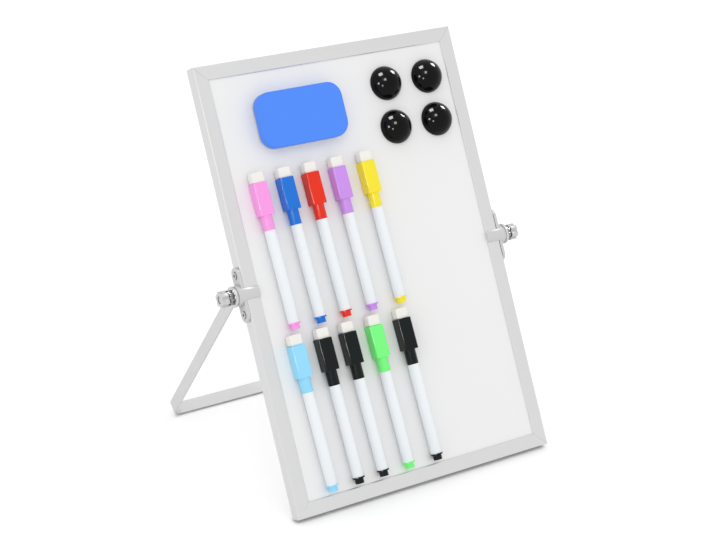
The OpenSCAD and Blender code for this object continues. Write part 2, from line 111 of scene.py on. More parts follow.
@dataclass
class Graph:
    """A node tree with short ways to add nodes and join them."""

    tree: bpy.types.NodeTree

    def add(self, kind: str, **values: object) -> bpy.types.Node:
        """Adds a node.

        Args:
            kind: Blender's type name of the node.
            values: properties to set on it, or inputs, when the name is that of an input.

        Returns:
            The new node.
        """
        node = self.tree.nodes.new(kind)
        for name, value in values.items():
            label = name.replace("_", " ").title()
            if label in node.inputs:
                node.inputs[label].default_value = value
            else:
                setattr(node, name, value)
        return node

    def join(self, source: Socket, target: Socket) -> None:
        """Links one socket to another."""
        self.tree.links.new(source, target)

    def feed(self, value: Socket | float | tuple[float, ...], target: Socket) -> None:
        """Gives an input its value.

        Args:
            value: a socket to link, or a constant.
            target: the input.
        """
        if isinstance(value, Socket):
            self.join(value, target)
        else:
            target.default_value = value

    def math(self, operation: str, first: Socket | float, second: Socket | float) -> Socket:
        """Adds a Math node.

        Args:
            operation: the operation's name.
            first: a socket or a number.
            second: a socket or a number.

        Returns:
            The node's output socket.
        """
        node = self.add("ShaderNodeMath", operation=operation)
        self.feed(first, node.inputs[0])
        self.feed(second, node.inputs[1])
        return node.outputs[0]

    def spread(self, value: Socket, low: float, high: float) -> Socket:
        """Maps a value from 0..1 to low..high.

        Args:
            value: the socket to map.
            low: result at 0.
            high: result at 1.

        Returns:
            The mapped socket.
        """
        node = self.add("ShaderNodeMapRange", to_min=low, to_max=high)
        self.join(value, node.inputs["Value"])
        return node.outputs["Result"]

    def clamp(self, value: Socket) -> Socket:
        """Keeps a value between 0 and 1.

        Args:
            value: the socket to limit.

        Returns:
            The limited socket.
        """
        node = self.add("ShaderNodeClamp")
        self.join(value, node.inputs["Value"])
        return node.outputs["Result"]

    def blend(self, mask: Socket, base: Socket | Colour, other: Socket | Colour,
              mode: str = "MIX") -> Socket:
        """Mixes two colours by a mask.

        Args:
            mask: 0 gives base, and 1 gives the mix.
            base: first colour, or its socket.
            other: second colour, or its socket.
            mode: Blender's name of the way they mix.

        Returns:
            The colour socket.
        """
        node = self.add("ShaderNodeMix", data_type="RGBA", blend_type=mode)
        for name, value in (("A", base), ("B", other)):
            self.feed(value if isinstance(value, Socket) else (*value, 1.0), node.inputs[name])
        self.join(mask, node.inputs["Factor"])
        return node.outputs["Result"]


def new_group(kind: GroupKind, inputs: dict[str, float], outputs: Sequence[str],
              vector: bool = False) -> tuple[Graph, dict[str, Socket], dict[str, Socket]]:
    """Starts a shader node group.

    Args:
        kind: which effect it is.
        inputs: each number input's name and usual value.
        outputs: the names of the number outputs.
        vector: whether it also takes a vector, named Vector.

    Returns:
        The group's graph, its inner input sockets and its inner output sockets, by name.
    """
    tree = bpy.data.node_groups.new(kind.value, "ShaderNodeTree")
    if vector:
        tree.interface.new_socket(name="Vector", in_out="INPUT", socket_type="NodeSocketVector")
    for name, value in inputs.items():
        socket = tree.interface.new_socket(name=name, in_out="INPUT", socket_type="NodeSocketFloat")
        socket.default_value = value
    for name in outputs:
        tree.interface.new_socket(name=name, in_out="OUTPUT", socket_type="NodeSocketFloat")
    graph = Graph(tree)
    start, end = graph.add("NodeGroupInput"), graph.add("NodeGroupOutput")
    inside = {socket.name: socket for socket in start.outputs if socket.name}
    outside = {socket.name: socket for socket in end.inputs if socket.name}
    return graph, inside, outside


def on_the_piece(graph: Graph) -> Socket:
    """Texture coordinates that stay on the piece, in metres."""
    return graph.add("ShaderNodeTexCoord").outputs["Object"]


def add_noise(graph: Graph, place: Socket, scale: Socket | float, **values: float) -> bpy.types.Node:
    """Adds a noise texture.

    Args:
        graph: where to add it.
        place: its coordinates.
        scale: its repeats per unit of them, as a socket or a number.
        values: its other inputs.

    Returns:
        The texture node.
    """
    texture = graph.add("ShaderNodeTexNoise", **values)
    graph.join(place, texture.inputs["Vector"])
    graph.feed(scale, texture.inputs["Scale"])
    return texture


def build_grain() -> bpy.types.NodeTree:
    """Fine texture of moulded plastic and coatings, as a height and a slow blotch.

    Returns:
        The node group.
    """
    usual = {"Size": 2200.0, "Blotch Size": 60.0}
    graph, inside, outside = new_group(GroupKind.GRAIN, usual, ("Height", "Blotch"))
    place = on_the_piece(graph)
    for name, size, detail in (("Height", "Size", 3.0), ("Blotch", "Blotch Size", 2.0)):
        texture = add_noise(graph, place, inside[size], detail=detail)
        graph.join(texture.outputs["Fac"], outside[name])
    return graph.tree


def build_wear() -> bpy.types.NodeTree:
    """Mask of outer edges, broken up by noise, where handling has worn them.

    Returns:
        The node group.
    """
    faintest, strongest = 1.0, 7.0
    usual = {"Width": 0.0004, "Break Up": 900.0}
    graph, inside, outside = new_group(GroupKind.WEAR, usual, ("Mask",))
    rounded = graph.add("ShaderNodeBevel", samples=4)
    graph.join(inside["Width"], rounded.inputs["Radius"])
    plain = graph.add("ShaderNodeNewGeometry")
    across = graph.add("ShaderNodeVectorMath", operation="DOT_PRODUCT")
    graph.join(rounded.outputs["Normal"], across.inputs[0])
    graph.join(plain.outputs["Normal"], across.inputs[1])
    edge = graph.math("SUBTRACT", 1.0, across.outputs["Value"])
    texture = add_noise(graph, on_the_piece(graph), inside["Break Up"], detail=2.0)
    strength = graph.spread(texture.outputs["Fac"], faintest, strongest)
    graph.join(graph.clamp(graph.math("MULTIPLY", edge, strength)), outside["Mask"])
    return graph.tree


def build_handling() -> bpy.types.NodeTree:
    """Mask of faint wipe marks and fingerprints.

    Returns:
        The node group.
    """
    bend = 0.03
    usual = {"Size": 35.0, "Sharpness": 0.5}
    graph, inside, outside = new_group(GroupKind.HANDLING, usual, ("Mask",))
    drawn_out = graph.add("ShaderNodeMapping", scale=(1.0, 1.0, 0.35))
    graph.join(on_the_piece(graph), drawn_out.inputs["Vector"])
    place = drawn_out.outputs["Vector"]
    warp = add_noise(graph, place, 12.0, detail=2.0)
    bent = graph.add("ShaderNodeVectorMath", operation="MULTIPLY_ADD")
    graph.join(warp.outputs["Color"], bent.inputs[0])
    bent.inputs[1].default_value = (bend, bend, bend)
    graph.join(place, bent.inputs[2])
    smear = add_noise(graph, bent.outputs["Vector"], inside["Size"], detail=6.0)
    contrast = graph.add("ShaderNodeMapRange", interpolation_type="SMOOTHSTEP",
                         from_min=0.42, from_max=0.72)
    graph.join(smear.outputs["Fac"], contrast.inputs["Value"])
    marks = graph.math("MULTIPLY", contrast.outputs["Result"], inside["Sharpness"])
    graph.join(marks, outside["Mask"])
    return graph.tree


def build_fibre() -> bpy.types.NodeTree:
    """Matted fibres of felt, as a height and a light and dark fleck.

    Returns:
        The node group.
    """
    strand_size, strand_height = 0.6, 0.8
    graph, inside, outside = new_group(GroupKind.FIBRE, {"Size": 1500.0}, ("Height", "Fleck"))
    place = on_the_piece(graph)
    matted = add_noise(graph, place, inside["Size"], detail=5.0, roughness=0.75, distortion=1.6)
    strands = graph.add("ShaderNodeTexVoronoi", feature="DISTANCE_TO_EDGE")
    graph.join(place, strands.inputs["Vector"])
    graph.join(graph.math("MULTIPLY", inside["Size"], strand_size), strands.inputs["Scale"])
    raised = graph.math("MULTIPLY", strands.outputs["Distance"], strand_height)
    graph.join(graph.math("ADD", matted.outputs["Fac"], raised), outside["Height"])
    graph.join(matted.outputs["Fac"], outside["Fleck"])
    return graph.tree


def build_drawn() -> bpy.types.NodeTree:
    """Long fine lines along texture X, as drawing a bar through a die leaves them.

    Returns:
        The node group.
    """
    along, across = 6.0, 3200.0
    graph, inside, outside = new_group(GroupKind.DRAWN, {}, ("Lines",), vector=True)
    stretch = graph.add("ShaderNodeMapping", scale=(along, across, across))
    graph.join(inside["Vector"], stretch.inputs["Vector"])
    lines = add_noise(graph, stretch.outputs["Vector"], 1.0, detail=4.0, roughness=0.6)
    graph.join(lines.outputs["Fac"], outside["Lines"])
    return graph.tree


def build_painted_shade() -> bpy.types.NodeTree:
    """Mask of grooves, corners and contacts, where little light comes in, for painting shade there.

    Returns:
        The node group.
    """
    steepness = 1.6
    graph, inside, outside = new_group(GroupKind.RECESS, {"Reach": 0.002}, ("Mask",))
    # painted shade: occlusion turned into a mask for colour
    shade = graph.add("ShaderNodeAmbientOcclusion", samples=8)
    graph.join(inside["Reach"], shade.inputs["Distance"])
    closed = graph.math("SUBTRACT", 1.0, shade.outputs["AO"])
    graph.join(graph.clamp(graph.math("MULTIPLY", closed, steepness)), outside["Mask"])
    return graph.tree


class Effects:
    """Builds each shared node group once and places it in materials."""

    makers: dict[GroupKind, Callable[[], bpy.types.NodeTree]] = {
        GroupKind.GRAIN: build_grain,
        GroupKind.DRAWN: build_drawn,
        GroupKind.WEAR: build_wear,
        GroupKind.HANDLING: build_handling,
        GroupKind.FIBRE: build_fibre,
        GroupKind.RECESS: build_painted_shade,
    }

    def __init__(self) -> None:
        """Starts with no group built."""
        self.built: dict[GroupKind, bpy.types.NodeTree] = {}

    def place(self, graph: Graph, kind: GroupKind, **values: float) -> bpy.types.Node:
        """Puts one effect into a material.

        Args:
            graph: the material's graph.
            kind: which effect.
            values: its inputs, by name in lower case with underscores.

        Returns:
            The group node.
        """
        if kind not in self.built:
            self.built[kind] = self.makers[kind]()
        node = graph.add("ShaderNodeGroup", node_tree=self.built[kind])
        for name, value in values.items():
            node.inputs[name.replace("_", " ").title()].default_value = value
        return node


EFFECTS = Effects()


# Finishes


@dataclass(frozen=True)
class Finish:
    """Base of all finishes: a named material around one Principled shader."""

    name: str
    colour: Colour
    roughness: float = 0.4

    def material(self) -> bpy.types.Material:
        """Gives the material, which is made on first use and shared afterwards.

        Returns:
            The material.
        """
        label = f"look_{self.name}"
        found = bpy.data.materials.get(label)
        if found is not None:
            return found
        made = bpy.data.materials.new(label)
        made.use_nodes = True
        made.diffuse_color = (*self.colour, 1.0)
        shader = made.node_tree.nodes["Principled BSDF"]
        shader.inputs["Base Color"].default_value = (*self.colour, 1.0)
        shader.inputs["Roughness"].default_value = self.roughness
        self.dress(Graph(made.node_tree), shader)
        return made

    def dress(self, graph: Graph, shader: bpy.types.Node) -> None:
        """Adds the finish's own detail to the shader."""

    def with_wear(self, graph: Graph, colour: Socket, worn: Colour, width: float) -> Socket:
        """Gives a colour its worn edges.

        Args:
            graph: the material's graph.
            colour: the colour socket.
            worn: the colour of the worn edges.
            width: how far the wear reaches from an edge, in metres.

        Returns:
            The new colour socket.
        """
        wear = EFFECTS.place(graph, GroupKind.WEAR, width=width)
        return graph.blend(wear.outputs["Mask"], colour, worn)

    def with_painted_shade(self, graph: Graph, colour: Socket, amount: float) -> Socket:
        """Gives a colour painted shade in its recesses.

        Args:
            graph: the material's graph.
            colour: the colour socket.
            amount: how dark the painted shade in the recesses is, from 0 for no change to 1 for
                black.

        Returns:
            The new colour socket.
        """
        if amount == 0.0:
            return colour
        # painted shade: the colour is multiplied darker where the recess mask is high
        mask = EFFECTS.place(graph, GroupKind.RECESS).outputs["Mask"]
        return graph.blend(mask, colour, (1.0 - amount,) * 3, "MULTIPLY")

    def bump(self, graph: Graph, shader: bpy.types.Node, height: Socket,
             distance: float, strength: float) -> None:
        """Feeds a height to the shader's normal.

        Args:
            graph: the material's graph.
            shader: the Principled shader.
            height: the height socket, 0 to 1.
            distance: how deep a full step of height is, in metres.
            strength: how much of the bump shows.
        """
        node = graph.add("ShaderNodeBump", strength=strength, distance=distance)
        graph.join(height, node.inputs["Height"])
        graph.join(node.outputs["Normal"], shader.inputs["Normal"])


@dataclass(frozen=True)
class DrawnMetal(Finish):
    """Satin anodised or plated metal with fine lines along the bar."""

    along: Along = Along.ACROSS
    # painted shade in recesses, from 0 for none to 1 for black
    recess: float = 0.0
    lines_depth: float = 0.000006
    lines_strength: float = 0.5
    lines_tone: float = 0.97
    lines_roughness: float = 0.06
    stretch_of_shine: float = 0.2
    marks_size: float = 28.0
    marks_sharpness: float = 0.10
    worn_tone: float = 1.10
    wear_width: float = 0.0003

    def dress(self, graph: Graph, shader: bpy.types.Node) -> None:
        """Puts the lines in colour, roughness and bump, pales the worn edges and paints shade in
        recesses.

        Args:
            graph: the material's graph.
            shader: the Principled shader.
        """
        shader.inputs["Metallic"].default_value = 1.0
        shader.inputs["Anisotropic"].default_value = self.stretch_of_shine
        turn = graph.add("ShaderNodeMapping", rotation=self.along.value)
        graph.join(on_the_piece(graph), turn.inputs["Vector"])
        drawn = EFFECTS.place(graph, GroupKind.DRAWN)
        graph.join(turn.outputs["Vector"], drawn.inputs["Vector"])
        lines = drawn.outputs["Lines"]
        marks = EFFECTS.place(graph, GroupKind.HANDLING, size=self.marks_size,
                              sharpness=self.marks_sharpness)
        streaks = graph.spread(lines, self.roughness - self.lines_roughness,
                               self.roughness + self.lines_roughness)
        graph.join(graph.math("ADD", streaks, marks.outputs["Mask"]), shader.inputs["Roughness"])
        lined = graph.blend(lines, toned(self.colour, self.lines_tone), self.colour)
        worn = self.with_wear(graph, lined, toned(self.colour, self.worn_tone), self.wear_width)
        graph.join(self.with_painted_shade(graph, worn, self.recess), shader.inputs["Base Color"])
        self.bump(graph, shader, lines, self.lines_depth, self.lines_strength)


@dataclass(frozen=True)
class Moulded(Finish):
    """Injection moulded plastic: a fine grain, slow blotches and paler edges."""

    specular: float = 0.5
    # painted shade in recesses, from 0 for none to 1 for black
    recess: float = 0.0
    grain_depth: float = 0.00001
    grain_strength: float = 0.4
    blotch: float = 0.03
    smoothest: float = 0.02
    smoother: float = 0.03
    rougher: float = 0.05
    worn_tone: float = 1.08
    worn_lift: float = 0.01
    wear_width: float = 0.00025

    def dress(self, graph: Graph, shader: bpy.types.Node) -> None:
        """Puts grain in the bump, blotches in colour and roughness, wear on the edges and painted
        shade in recesses.

        Args:
            graph: the material's graph.
            shader: the Principled shader.
        """
        shader.inputs["Specular IOR Level"].default_value = self.specular
        grain = EFFECTS.place(graph, GroupKind.GRAIN)
        blotches = grain.outputs["Blotch"]
        blotched = graph.blend(blotches, toned(self.colour, 1.0 - self.blotch),
                               toned(self.colour, 1.0 + self.blotch))
        worn = self.with_wear(graph, blotched, toned(self.colour, self.worn_tone, self.worn_lift),
                              self.wear_width)
        graph.join(self.with_painted_shade(graph, worn, self.recess), shader.inputs["Base Color"])
        low = max(self.smoothest, self.roughness - self.smoother)
        rough = graph.spread(blotches, low, self.roughness + self.rougher)
        graph.join(rough, shader.inputs["Roughness"])
        self.bump(graph, shader, grain.outputs["Height"], self.grain_depth, self.grain_strength)


@dataclass(frozen=True)
class CoatedSteel(Finish):
    """White dry-wipe coating: smooth, with a barely visible ripple and faint wipe marks."""

    specular: float = 0.3
    marks_size: float = 14.0
    marks_sharpness: float = 0.3
    marks_roughness: float = 0.04
    marks_tone: float = 0.992
    ripple_size: float = 420.0
    ripple_depth: float = 0.000008
    ripple_strength: float = 0.25

    def dress(self, graph: Graph, shader: bpy.types.Node) -> None:
        """Puts a slow ripple in the bump, and wipe marks in the roughness and the colour.

        Args:
            graph: the material's graph.
            shader: the Principled shader.
        """
        shader.inputs["Specular IOR Level"].default_value = self.specular
        marks = EFFECTS.place(graph, GroupKind.HANDLING, size=self.marks_size,
                              sharpness=self.marks_sharpness).outputs["Mask"]
        rough = graph.spread(marks, self.roughness, self.roughness + self.marks_roughness)
        graph.join(rough, shader.inputs["Roughness"])
        wiped = graph.blend(marks, self.colour, toned(self.colour, self.marks_tone))
        graph.join(wiped, shader.inputs["Base Color"])
        ripple = EFFECTS.place(graph, GroupKind.GRAIN, size=self.ripple_size)
        self.bump(graph, shader, ripple.outputs["Height"], self.ripple_depth, self.ripple_strength)


@dataclass(frozen=True)
class Felted(Finish):
    """Pressed felt, foam or fibre board: flecked fibres and a soft sheen."""

    specular: float = 0.2
    fibre_size: float = 1500.0
    fibre_depth: float = 0.00025
    fibre_strength: float = 0.6
    fleck: float = 0.12
    fleck_light: float = 0.5
    smoother: float = 0.08
    rougher: float = 0.05
    sheen: float = 0.4
    sheen_roughness: float = 0.6

    def dress(self, graph: Graph, shader: bpy.types.Node) -> None:
        """Puts fibres in the bump, flecks in colour and roughness, and a sheen over all.

        Args:
            graph: the material's graph.
            shader: the Principled shader.
        """
        shader.inputs["Specular IOR Level"].default_value = self.specular
        shader.inputs["Sheen Weight"].default_value = self.sheen
        shader.inputs["Sheen Roughness"].default_value = self.sheen_roughness
        fibre = EFFECTS.place(graph, GroupKind.FIBRE, size=self.fibre_size)
        flecks = fibre.outputs["Fleck"]
        flecked = graph.blend(flecks, toned(self.colour, 1.0 - self.fleck),
                              toned(self.colour, 1.0 + self.fleck_light * self.fleck))
        graph.join(flecked, shader.inputs["Base Color"])
        rough = graph.spread(flecks, self.roughness - self.smoother, self.roughness + self.rougher)
        graph.join(rough, shader.inputs["Roughness"])
        self.bump(graph, shader, fibre.outputs["Height"], self.fibre_depth, self.fibre_strength)


FERRITE = Moulded("magnet_ferrite", (0.05, 0.05, 0.052), 0.6)


# Mesh helpers


WELD_DISTANCE = 0.000002
SHARP_ANGLE = math.radians(38)


def node_object(name: str) -> bpy.types.Object:
    """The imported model's object of one node."""
    return frame["nodes"][name]


def dress_node(name: str, finish: Finish, edge: float = 0.0, segments: int = 2) -> None:
    """Gives a node its finish and rounds its sharp edges with modifiers.

    Args:
        name: the node.
        finish: its finish.
        edge: radius of the rounding, or 0 for none.
        segments: faces across the rounding.
    """
    thing = node_object(name)
    thing.data.materials.clear()
    thing.data.materials.append(finish.material())
    if edge > 0.0:
        weld = thing.modifiers.new("join", "WELD")
        weld.merge_threshold = WELD_DISTANCE
        bevel = thing.modifiers.new("round", "BEVEL")
        bevel.width = edge
        bevel.segments = segments
        bevel.limit_method = "ANGLE"
        bevel.angle_limit = SHARP_ANGLE
        bevel.harden_normals = True
        bevel.use_clamp_overlap = True
    log.info("dressed %s as %s", name, finish.name)


def add_piece(name: str, mesh: bpy.types.Mesh, finish: Finish, body: str,
              instead_of: Sequence[str]) -> None:
    """Adds a modelled soft piece to the scene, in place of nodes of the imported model.

    Args:
        name: name of the piece.
        mesh: its mesh, in place.
        finish: its finish.
        body: the body that it rides on.
        instead_of: the nodes that it replaces.
    """
    piece = bpy.data.objects.new(name, mesh)
    bpy.context.scene.collection.objects.link(piece)
    mesh.materials.append(finish.material())
    for face in mesh.polygons:
        face.use_smooth = True
    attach(piece, body)
    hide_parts(*instead_of)
    log.info("modelled %s on %s", name, body)


@dataclass(frozen=True)
class BoardFrame:
    """The leaning board's own axes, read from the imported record."""

    origin: Vector
    right: Vector
    up: Vector
    out: Vector

    @classmethod
    def read(cls) -> "BoardFrame":
        """Works the axes out from the writing face's mount.

        Returns:
            The board's frame, with its origin on the writing face.
        """
        face = next(m for m in frame["record"]["mounts"] if m["name"] == "writing_face")
        out = Vector(face["axis"]).normalized()
        right = Vector((1.0, 0.0, 0.0))
        return cls(Vector(face["pos_m"]), right, out.cross(right), out)

    def matrix(self, centre: Vector, slant: float) -> Matrix:
        """A matrix that stands a shape on the board.

        Args:
            centre: where the shape's origin goes.
            slant: turn of the shape in the board's plane, in radians.

        Returns:
            The matrix from the shape's axes (X right, Y up the board, Z out) to the model's frame.
        """
        axes = Matrix((self.right, self.up, self.out)).transposed()
        return Matrix.Translation(centre) @ axes.to_4x4() @ Matrix.Rotation(slant, 4, "Z")

    def extent(self, node: str, slant: float) -> tuple[Vector, Vector]:
        """Size and place of a node measured along the board's axes.

        Args:
            node: the node's name.
            slant: turn of the measuring axes in the board's plane, in radians.

        Returns:
            The node's centre in the model's frame, and its size across, up and out.
        """
        back = self.matrix(self.origin, slant).inverted()
        points = [back @ v.co for v in node_object(node).data.vertices]
        low = Vector(min(p[i] for p in points) for i in range(3))
        high = Vector(max(p[i] for p in points) for i in range(3))
        return back.inverted() @ ((low + high) / 2), high - low


def rounded_outline(width: float, height: float, corner: float, steps: int) -> list[Vector]:
    """A rectangle with round corners, as points going round it.

    Args:
        width: size along X.
        height: size along Y.
        corner: radius of the corners.
        steps: spans in each corner's arc.

    Returns:
        The points, in the XY plane.
    """
    points = []
    for quarter, (sx, sy) in enumerate(((1, 1), (-1, 1), (-1, -1), (1, -1))):
        middle = Vector((sx * (width / 2 - corner), sy * (height / 2 - corner), 0.0))
        for step in range(steps + 1):
            angle = (quarter + step / steps) * math.pi / 2
            points.append(middle + corner * Vector((math.cos(angle), math.sin(angle), 0.0)))
    return points


def round_pairs(count: int) -> list[tuple[int, int]]:
    """Each place in a ring of points with the next one, going all the way round."""
    return [(i, (i + 1) % count) for i in range(count)]


@dataclass(frozen=True)
class SoftShape:
    """What makes a soft block differ from a plain one, and how fine its mesh is."""

    corner: float
    roll: float
    unevenness: float
    grid: float
    corner_spans: int = 8
    roll_spans: int = 4
    coarse_waves: float = 900.0
    fine_waves: float = 2500.0
    fine_share: float = 0.4


@dataclass(frozen=True)
class SoftBlock:
    """A block of felt or foam with rolled edges and slightly uneven faces."""

    width: float
    height: float
    depth: float
    shape: SoftShape
    seed: float

    def mesh(self, name: str, place: Matrix) -> bpy.types.Mesh:
        """Builds the block.

        Args:
            name: name of the mesh.
            place: matrix from the block's axes, with Z through its depth, to the model's frame.

        Returns:
            The closed mesh.
        """
        work = bmesh.new()
        rings = [self.ring(work, inset, z) for inset, z in self.levels()]
        for lower, upper in zip(rings, rings[1:]):
            for i, j in round_pairs(len(lower)):
                work.faces.new((lower[i], lower[j], upper[j], upper[i]))
        self.cap(work, rings[0])
        self.cap(work, rings[-1])
        bmesh.ops.recalc_face_normals(work, faces=work.faces)
        self.roughen(work)
        bmesh.ops.transform(work, matrix=place, verts=work.verts)
        mesh = bpy.data.meshes.new(name)
        work.to_mesh(mesh)
        work.free()
        return mesh

    def levels(self) -> list[tuple[float, float]]:
        """Works out the rings that make the block's side.

        Returns:
            Inset and height of each ring, from the back face to the front face.
        """
        roll, spans = self.shape.roll, self.shape.roll_spans
        turns = [i / spans * math.pi / 2 for i in range(spans + 1)]
        rear = -self.depth / 2
        back = [(roll * (1 - math.sin(t)), rear + roll * (1 - math.cos(t))) for t in turns]
        front = [(inset, -z) for inset, z in reversed(back)]
        start, end = back[-1][1], front[0][1]
        flank = max(1, round((self.depth - 2 * roll) / self.shape.grid))
        between = [(0.0, start + (end - start) * i / flank) for i in range(1, flank)]
        return back + between + front

    def ring(self, work: bmesh.types.BMesh, inset: float, z: float) -> list[bmesh.types.BMVert]:
        """Adds one ring of points round the block.

        Args:
            work: the mesh being built.
            inset: how far inside the block's outline it runs.
            z: its height.

        Returns:
            The ring's points, in order.
        """
        shape = self.shape
        outline = rounded_outline(self.width - 2 * inset, self.height - 2 * inset,
                                  shape.corner - inset, shape.corner_spans)
        dense = []
        for start, end in zip(outline, outline[1:] + outline[:1]):
            spans = max(1, round((end - start).length / shape.grid))
            dense += [start.lerp(end, i / spans) for i in range(spans)]
        return [work.verts.new((p.x, p.y, z)) for p in dense]

    def cap(self, work: bmesh.types.BMesh, ring: list[bmesh.types.BMVert]) -> None:
        """Closes one end with rings that shrink to the middle, twice as wide as the grid.

        Args:
            work: the mesh being built.
            ring: the ring round that end.
        """
        steps = max(2, round(min(self.width, self.height) / 2 / self.shape.grid / 2))
        middle = sum((v.co for v in ring), Vector()) / len(ring)
        last = ring
        for step in range(1, steps):
            inner = [work.verts.new(v.co.lerp(middle, step / steps)) for v in ring]
            for i, j in round_pairs(len(ring)):
                work.faces.new((last[i], last[j], inner[j], inner[i]))
            last = inner
        hub = work.verts.new(middle)
        for i, j in round_pairs(len(ring)):
            work.faces.new((last[i], last[j], hub))

    def roughen(self, work: bmesh.types.BMesh) -> None:
        """Moves each point a little inward along its normal, so that the block keeps its size.

        Args:
            work: the mesh being built.
        """
        work.normal_update()
        shape, shift = self.shape, Vector((self.seed, 0.0, 0.0))
        for vert in work.verts:
            coarse = noise.noise(vert.co * shape.coarse_waves + shift) * (1.0 - shape.fine_share)
            fine = noise.noise(vert.co * shape.fine_waves + shift) * shape.fine_share
            vert.co -= vert.normal * shape.unevenness * (0.5 + 0.5 * (coarse + fine))


@dataclass(frozen=True)
class SoftPiece:
    """A node of felt or foam that is modelled here, with the node's own size and place."""

    node: str
    body: str
    slot: str
    finish: Finish
    shape: SoftShape
    slant: float = 0.0
    seed: float = 0.0

    def build(self, board: BoardFrame) -> None:
        """Models the piece in place of its node.

        Args:
            board: the board that it lies on.
        """
        centre, size = board.extent(self.node, self.slant)
        block = SoftBlock(size.x, size.y, size.z, self.shape, self.seed)
        mesh = block.mesh(f"{self.node}_mesh", board.matrix(centre, self.slant))
        add_piece(f"{self.node}_soft", mesh, self.finish, self.body, [self.node])


# The easel's sub-assemblies


@dataclass
class FramedBoard:
    """Aluminium frame, coated sheets and the parts hidden between them."""

    edge: float = 0.0002
    rail_across: Finish = DrawnMetal("rail_across", (0.84, 0.84, 0.84), 0.42)
    rail_up: Finish = replace(rail_across, name="rail_up", along=Along.UPWARD)
    face: Finish = CoatedSteel("writing_face", (0.87, 0.87, 0.87), 0.22)
    core: Finish = Felted("core_fibre", (0.62, 0.50, 0.34), 0.9)
    key: Finish = Moulded("key_plastic", (0.12, 0.12, 0.13), 0.5)

    def build(self) -> None:
        """Dresses the rails, the sheets, the core and the corner keys."""
        for side in ("top", "bottom"):
            dress_node(f"frame_rail_{side}", self.rail_across, self.edge)
        for side in ("left", "right"):
            dress_node(f"frame_rail_{side}", self.rail_up, self.edge)
        for sheet in ("front_sheet", "back_sheet"):
            dress_node(sheet, self.face)
        dress_node("core_board", self.core)
        dress_node("corner_keys", self.key)


@dataclass
class Hinges:
    """Brackets, screws, bolts, washers, collars and knobs of both sides."""

    bracket_edge: float = 0.0003
    screw_edge: float = 0.00012
    bolt_edge: float = 0.0002
    washer_edge: float = 0.0001
    collar_edge: float = 0.0002
    knob_edge: float = 0.0003
    # These finishes paint shade into grooves, slots and the edges round screw heads.
    bracket: Finish = Moulded("bracket_plastic", (0.62, 0.62, 0.625), 0.26, recess=0.4)
    steel: Finish = DrawnMetal("plated_steel", (0.66, 0.66, 0.67), 0.25, recess=0.7)
    washer: Finish = Moulded("washer_nylon", (0.80, 0.80, 0.76), 0.45)
    collar: Finish = DrawnMetal("collar_chrome", (0.40, 0.40, 0.41), 0.12, recess=0.7)
    knob: Finish = Moulded("knob_plastic", (0.62, 0.62, 0.63), 0.25, specular=0.6, recess=0.97)

    def build(self) -> None:
        """Dresses every piece of the two hinges."""
        dress_node("bracket_screws", self.steel, self.screw_edge)
        dress_node("pivot_bolts", self.steel, self.bolt_edge)
        dress_node("thrust_washers", self.washer, self.washer_edge)
        for side in ("left", "right"):
            dress_node(f"hinge_bracket_{side}", self.bracket, self.bracket_edge)
            dress_node(f"lock_collar_{side}", self.collar, self.collar_edge)
            dress_node(f"knob_{side}", self.knob, self.knob_edge)


@dataclass
class Stand:
    """The U-shaped flat bar."""

    edge: float = 0.0004
    bar: Finish = DrawnMetal("stand_bar", (0.77, 0.77, 0.77), 0.40, along=Along.UPWARD)

    def build(self) -> None:
        """Dresses the bar."""
        dress_node("stand_frame", self.bar, self.edge)


@dataclass
class Eraser:
    """Foam block with a wiping felt and a magnet strip."""

    board: BoardFrame
    foam_shape: SoftShape = SoftShape(corner=0.0100, roll=0.0007, unevenness=0.00005, grid=0.0012)
    felt_shape: SoftShape = SoftShape(corner=0.0096, roll=0.0003, unevenness=0.0002, grid=0.0012)
    foam: Finish = Felted("eraser_foam", (0.083, 0.268, 0.975), 0.75, fibre_size=2600.0,
                          fibre_depth=0.00008, fleck=0.05, sheen=0.1)
    felt: Finish = Felted("eraser_felt", (0.60, 0.61, 0.63), 0.9)

    def build(self) -> None:
        """Models the foam and the felt, and dresses the magnet."""
        foam = SoftPiece("eraser_body", "eraser", "eraser_foam", self.foam, self.foam_shape)
        felt = SoftPiece("eraser_felt", "eraser", "eraser_felt", self.felt, self.felt_shape)
        foam.build(self.board)
        felt.build(self.board)
        dress_node("eraser_magnet", FERRITE)


@dataclass
class DomeMagnets:
    """Four glossy domes, each with a magnet disc in its base."""

    places: tuple[str, ...] = ("upper_left", "upper_right", "lower_left", "lower_right")
    edge: float = 0.0003
    dome: Finish = Moulded("dome_gloss", (0.003, 0.003, 0.003), 0.08, specular=0.14,
                           grain_depth=0.000001, blotch=0.0)

    def build(self) -> None:
        """Dresses the domes and their discs."""
        for place in self.places:
            dress_node(f"dome_{place}", self.dome, self.edge)
            dress_node(f"dome_magnet_{place}", FERRITE)


@dataclass
class Marker:
    """One pen: coloured cap and tail plug, white barrel, felt on the cap."""

    name: str
    ink: Ink
    board: BoardFrame
    seed: float
    slant: float = math.radians(1.5)
    cap_edge: float = 0.0005
    cap_segments: int = 3
    cap_roughness: float = 0.20
    cap_specular: float = 0.22
    barrel_edge: float = 0.0002
    barrel: Finish = Moulded("barrel_white", (0.87, 0.905, 0.935), 0.28, specular=0.3, blotch=0.0)
    felt: Finish = Felted("cap_felt", (0.94, 0.92, 0.87), 0.92, sheen=0.2)
    felt_shape: SoftShape = SoftShape(corner=0.0012, roll=0.0006, unevenness=0.00012, grid=0.0006)

    def build(self) -> None:
        """Dresses the cap and the barrel, and models the felt."""
        stem = f"marker_{self.name}"
        cap = Moulded(f"cap_{self.ink.name.lower()}", self.ink.value, self.cap_roughness,
                      specular=self.cap_specular)
        dress_node(f"{stem}_cap_and_plug", cap, self.cap_edge, self.cap_segments)
        dress_node(f"{stem}_barrel", self.barrel, self.barrel_edge)
        felt = SoftPiece(f"{stem}_felt", stem, "cap_felt", self.felt, self.felt_shape,
                         self.slant, self.seed)
        felt.build(self.board)


